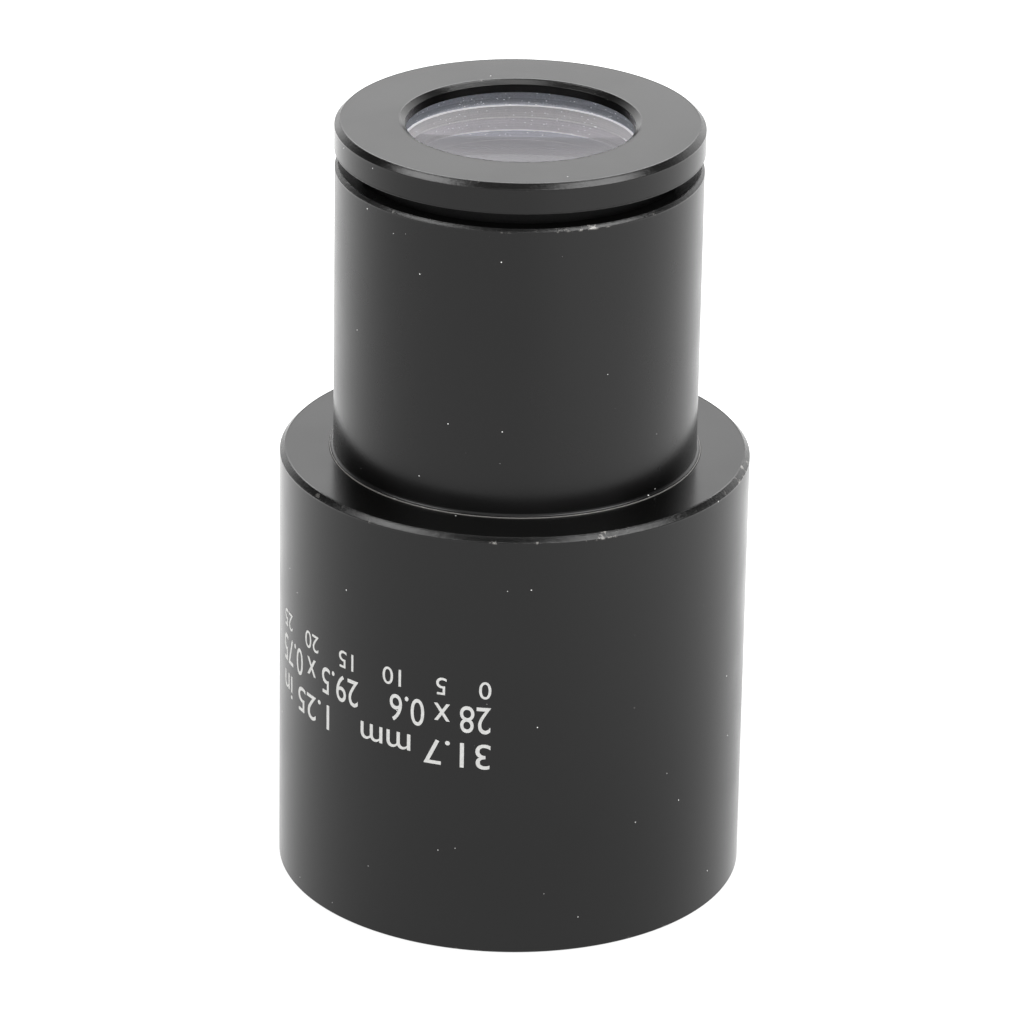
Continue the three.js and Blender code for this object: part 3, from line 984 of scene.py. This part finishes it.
def lettering(text, height, width):
    """A closed mesh of a line of text, in millimetres, cut into upright strips so that it can bend."""
    curve = bpy.data.curves.new("marking_text", "FONT")
    curve.body = text
    curve.extrude = LETTER_THICKNESS
    curve.resolution_u = LETTER_STEPS
    holder = bpy.data.objects.new("marking_text", curve)
    bpy.context.scene.collection.objects.link(holder)
    bpy.context.view_layer.update()
    depsgraph = bpy.context.evaluated_depsgraph_get()
    flat = bpy.data.meshes.new_from_object(holder.evaluated_get(depsgraph))
    bpy.data.objects.remove(holder)
    shape = bmesh.new()
    shape.from_mesh(flat)
    bmesh.ops.remove_doubles(shape, verts=shape.verts, dist=1e-5)
    left = min(vertex.co.x for vertex in shape.verts)
    right = max(vertex.co.x for vertex in shape.verts)
    top = max(vertex.co.y for vertex in shape.verts)
    for vertex in shape.verts:
        vertex.co.x = (vertex.co.x - left) / (right - left) * width
        vertex.co.y = vertex.co.y / top * height
    for strip in range(1, int(width / INK_STRIP) + 1):
        everything = list(shape.verts) + list(shape.edges) + list(shape.faces)
        point = (strip * INK_STRIP, 0.0, 0.0)
        across = (1.0, 0.0, 0.0)
        bmesh.ops.bisect_plane(shape, geom=everything, plane_co=point, plane_no=across, dist=1e-6)
    return shape


def make_marking():
    """Three lines that read with the nose down, wrapped round the left of the holder's front."""
    whole = bmesh.new()
    for text, height, drop, width in MARKING_LINES:
        shape = lettering(text, height, width)
        for vertex in shape.verts:
            angle = MARKING_START - vertex.co.x / HOLDER_RADIUS
            outside = vertex.co.z > 0
            radius = HOLDER_RADIUS + (INK_RELIEF if outside else -INK_DEPTH)
            z = SHOULDER_Z - drop - vertex.co.y
            vertex.co = Vector((radius * math.sin(angle), -radius * math.cos(angle), z)) * MM
        line = bpy.data.meshes.new("marking_line")
        shape.to_mesh(line)
        shape.free()
        whole.from_mesh(line)
    bmesh.ops.recalc_face_normals(whole, faces=whole.faces)
    mesh = bpy.data.meshes.new("size_marking")
    whole.to_mesh(mesh)
    whole.free()
    add_piece("size_marking", mesh, [WHITE_INK], "holder")


# ---------------------------------------------------------------- studio

# The camera that fits the outlines in the photograph, in millimetres and radians.
CAMERA_BACK = 505.3
CAMERA_ABOVE = 214.6
CAMERA_PITCH = math.radians(23.627)
CAMERA_YAW = math.radians(-0.018)
CAMERA_ROLL = math.radians(0.99)
CAMERA_LENS = 221.3
SENSOR_WIDTH = 36.0

# The floor's glow, more towards the back and the right, and less round the foot and far behind.
# Each pair of distances is where a change starts and ends, in metres.
FLOOR_RADIUS = 4.0
FLOOR_DROP = 0.02
FLOOR_GLOW = 1.0
FLOOR_BACK = (-0.06, 0.14)
FLOOR_BACK_GLOW = 0.45
FLOOR_RIGHT = (0.0, 0.12)
FLOOR_RIGHT_GLOW = 0.3
FLOOR_FOOT = (0.02, 0.1)
FLOOR_FOOT_DIM = 0.14
FLOOR_FAR = (0.16, 0.5)
FLOOR_FAR_DIM = 0.6

# The room's glow. Each pair is where a light begins and ends, as a part of a unit direction.
BACKDROP_GLOW = 2.2
BACKDROP_SIDES = (0.4, 0.85)
BACKDROP_TOP = (0.45, 0.85)
BACKDROP_TURN = 0.12
FRONT_GLOW = 1.2
FRONT_SIDES = (-0.55, -0.1)
FRONT_TOP = (0.72, 0.88)
TOP_GLOW = 4.2
TOP_EDGE = (0.965, 0.99)
GAP_GLOW = 0.1

BOX_DISTANCE = 1.0
BOX_GLOW = 7.5


def direction(azimuth, elevation):
    """A unit vector. Azimuth 0 is towards the camera's side, -Y, and 90 is towards +X."""
    a = math.radians(azimuth)
    e = math.radians(elevation)
    return Vector((math.sin(a) * math.cos(e), -math.cos(a) * math.cos(e), math.sin(e)))


def make_floor():
    shape = bmesh.new()
    bmesh.ops.create_circle(shape, cap_ends=True, radius=FLOOR_RADIUS, segments=96)
    mesh = bpy.data.meshes.new("floor")
    shape.to_mesh(mesh)
    shape.free()
    shader = Shader("floor_white")
    across, back, _ = shader.add("ShaderNodeSeparateXYZ", {0: shader.place}).outputs
    length = shader.add("ShaderNodeVectorMath", {0: shader.place}, operation="LENGTH")
    from_axis = length.outputs["Value"]
    behind = shader.ramp(back, *FLOOR_BACK, 0.0, FLOOR_BACK_GLOW)
    beside = shader.ramp(across, *FLOOR_RIGHT, 0.0, FLOOR_RIGHT_GLOW)
    extra = shader.math("MAXIMUM", behind, beside)
    extra = shader.math("SUBTRACT", extra, shader.ramp(from_axis, *FLOOR_FOOT, FLOOR_FOOT_DIM, 0.0))
    extra = shader.math("SUBTRACT", extra, shader.ramp(back, *FLOOR_FAR, 0.0, FLOOR_FAR_DIM))
    white = shader.finish({
        "Base Color": colour(0.12, 0.12, 0.12),
        "Roughness": 0.9,
        "Specular IOR Level": 0.0,
        "Emission Color": colour(1.0, 1.0, 1.0),
        "Emission Strength": shader.math("ADD", extra, FLOOR_GLOW),
    })
    mesh.materials.append(white)
    floor = bpy.data.objects.new("floor", mesh)
    floor.location.z = (RIM_Z - FLOOR_DROP) * MM
    bpy.context.scene.collection.objects.link(floor)


def make_world():
    """A bright backdrop behind, a light wall in front and a panel overhead, with dim gaps between."""
    world = bpy.data.worlds.new("studio")
    bpy.context.scene.world = world
    world.use_nodes = True
    tree = world.node_tree
    tree.nodes.clear()
    place = tree.nodes.new("ShaderNodeTexCoord")
    parts = tree.nodes.new("ShaderNodeSeparateXYZ")
    background = tree.nodes.new("ShaderNodeBackground")
    output = tree.nodes.new("ShaderNodeOutputWorld")

    def fade(value, low, high, to_low, to_high):
        node = tree.nodes.new("ShaderNodeMapRange")
        node.interpolation_type = "SMOOTHSTEP"
        for socket, number in zip(node.inputs[1:5], (low, high, to_low, to_high)):
            socket.default_value = number
        tree.links.new(value, node.inputs["Value"])
        return node.outputs[0]

    def combine(operation, first, second):
        node = tree.nodes.new("ShaderNodeMath")
        node.operation = operation
        for socket, value in zip(node.inputs, (first, second)):
            if isinstance(value, bpy.types.NodeSocket):
                tree.links.new(value, socket)
            else:
                socket.default_value = value
        return node.outputs[0]

    tree.links.new(place.outputs["Generated"], parts.inputs[0])
    across, back, up = parts.outputs
    turned_back = combine("ADD", back, combine("MULTIPLY", across, BACKDROP_TURN))
    backdrop_across = fade(turned_back, *BACKDROP_SIDES, 0.0, 1.0)
    backdrop_up = fade(up, *BACKDROP_TOP, BACKDROP_GLOW, 0.0)
    front_across = fade(back, *FRONT_SIDES, 1.0, 0.0)
    front_up = fade(up, *FRONT_TOP, FRONT_GLOW, 0.0)
    backdrop = combine("MULTIPLY", backdrop_across, backdrop_up)
    front = combine("MULTIPLY", front_across, front_up)
    top = fade(up, *TOP_EDGE, 0.0, TOP_GLOW)
    glow = combine("ADD", combine("ADD", backdrop, front), combine("ADD", top, GAP_GLOW))
    tree.links.new(glow, background.inputs["Strength"])
    tree.links.new(background.outputs[0], output.inputs["Surface"])


def make_softbox(name, near, far, width):
    """A long soft light overhead, between two directions. width is in metres."""
    toward = (near + far).normalized()
    along = (far - near).normalized()
    length = (far - near).length * BOX_DISTANCE
    light = bpy.data.lights.new(name, "AREA")
    light.shape = "RECTANGLE"
    light.size = length
    light.size_y = width
    light.energy = BOX_GLOW * math.pi * length * width
    lamp = bpy.data.objects.new(name, light)
    side = toward.cross(along)
    turn = Matrix((along, side, toward)).transposed().to_4x4()
    lamp.matrix_world = Matrix.Translation(toward * BOX_DISTANCE) @ turn
    bpy.context.scene.collection.objects.link(lamp)


def make_camera():
    """The camera stands in front of the object, above it, and looks down with a slight roll."""
    forward = Vector((
        math.sin(CAMERA_YAW) * math.cos(CAMERA_PITCH),
        math.cos(CAMERA_YAW) * math.cos(CAMERA_PITCH),
        -math.sin(CAMERA_PITCH),
    ))
    level = Vector((math.cos(CAMERA_YAW), -math.sin(CAMERA_YAW), 0.0))
    upright = level.cross(forward)
    right = level * math.cos(CAMERA_ROLL) + upright * math.sin(CAMERA_ROLL)
    up = upright * math.cos(CAMERA_ROLL) - level * math.sin(CAMERA_ROLL)
    turn = Matrix((right, up, -forward)).transposed().to_4x4()
    data = bpy.data.cameras.new("camera")
    data.lens = CAMERA_LENS
    data.sensor_width = SENSOR_WIDTH
    camera = bpy.data.objects.new("camera", data)
    place = Vector((0.0, -CAMERA_BACK, CAMERA_ABOVE)) * MM
    camera.matrix_world = Matrix.Translation(place) @ turn
    bpy.context.scene.collection.objects.link(camera)
    bpy.context.scene.camera = camera


def make_look():
    """Plain colours, and enough bounces for light to cross the glass and come back."""
    scene = bpy.context.scene
    scene.view_settings.view_transform = "Standard"
    scene.cycles.use_denoising = True
    scene.cycles.max_bounces = 16
    scene.cycles.diffuse_bounces = 12
    scene.cycles.glossy_bounces = 12
    scene.cycles.transmission_bounces = 14
    scene.cycles.transparent_max_bounces = 12


make_holder()
make_clamp_ring()
make_nose()
make_stop()
make_cell()
make_lenses()
make_retaining_ring()
make_knob()
make_shank()
make_tip()
make_marking()
make_floor()
make_world()
make_softbox("softbox_left", direction(-60, 61), direction(-98, 45), 0.36)
make_softbox("softbox_right", direction(42, 68), direction(101, 48), 0.45)
make_camera()
make_look()
